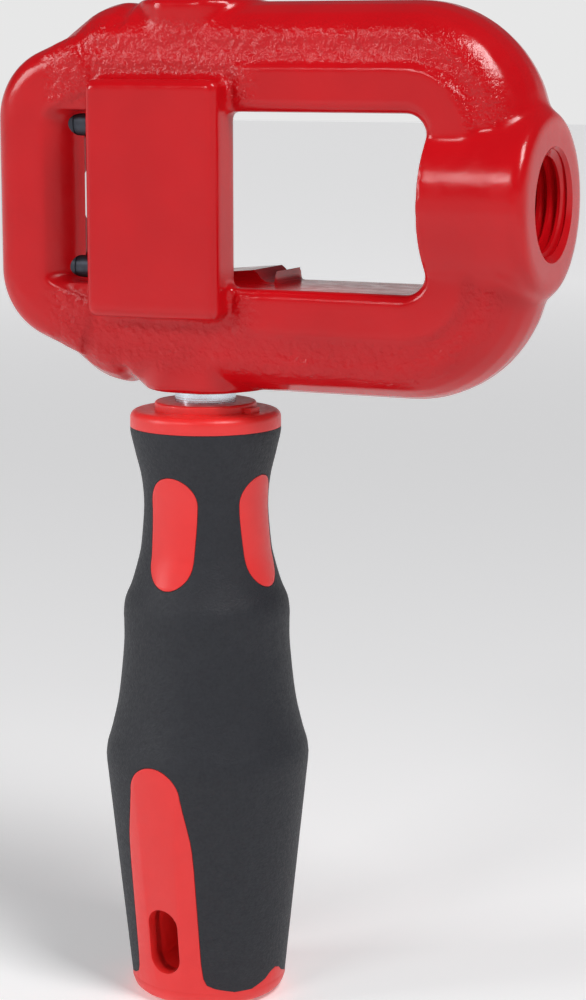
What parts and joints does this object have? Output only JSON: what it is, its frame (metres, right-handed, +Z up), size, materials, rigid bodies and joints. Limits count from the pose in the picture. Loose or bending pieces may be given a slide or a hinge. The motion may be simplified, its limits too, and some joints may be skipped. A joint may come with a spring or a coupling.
{
  "type": "flaring tool yoke with handle",
  "caption": "Cast flaring tool yoke with a window, open-backed die pocket, tube slot and threaded spindle boss, on a swivelling two-colour grip with a hang slot.",
  "frame": {"origin": "where the spindle axis meets the handle axis, in the middle of the die pocket", "axes": "+X along the spindle axis towards the threaded boss, +Z up along the handle axis, -Y the plated front"},
  "size_m": [0.1109, 0.0406, 0.1972],
  "materials": {
    "yoke_paint": "glossy red paint over an orange-peel casting",
    "black_oxide": "black oxide",
    "spring_steel": "oiled spring steel",
    "ball_steel": "polished bearing ball",
    "zinc_plate": "bright zinc plate, turned",
    "bearing_bronze": "sintered bronze, oiled",
    "red_plastic": "satin red moulding",
    "black_soft_grip": "matt soft-touch, fine spark texture"
  },
  "bodies": {
    "yoke": {"yoke_casting": "yoke_paint", "plunger_body_upper": "black_oxide", "plunger_body_lower": "black_oxide", "plunger_spring_upper": "spring_steel", "plunger_spring_lower": "spring_steel", "handle_shank": "zinc_plate", "thrust_washer_upper": "zinc_plate", "thrust_washer_lower": "zinc_plate", "shank_circlip": "spring_steel"},
    "grip": {"grip_core": "red_plastic", "grip_sleeve": "black_soft_grip", "flange_bush": "red_plastic", "bearing_sleeve": "bearing_bronze"},
    "ball_upper": {"plunger_ball_upper": "ball_steel"},
    "ball_lower": {"plunger_ball_lower": "ball_steel"}
  },
  "joints": [
    {"name": "grip_swivel", "type": "hinge", "parent": "yoke", "child": "grip", "pos_m": [0, 0, -0.08], "axis": [0, 0, 1], "continuous": true},
    {"name": "ball_upper_press", "type": "slide", "parent": "yoke", "child": "ball_upper", "axis": [-1, 0, 0], "range_m": [0, 0.0008], "stiffness_N_per_m": 6000, "springref_m": -0.0015, "deforming": ["plunger_spring_upper"]},
    {"name": "ball_lower_press", "type": "slide", "parent": "yoke", "child": "ball_lower", "axis": [-1, 0, 0], "range_m": [0, 0.0008], "stiffness_N_per_m": 6000, "springref_m": -0.0015, "deforming": ["plunger_spring_lower"]}
  ]
}
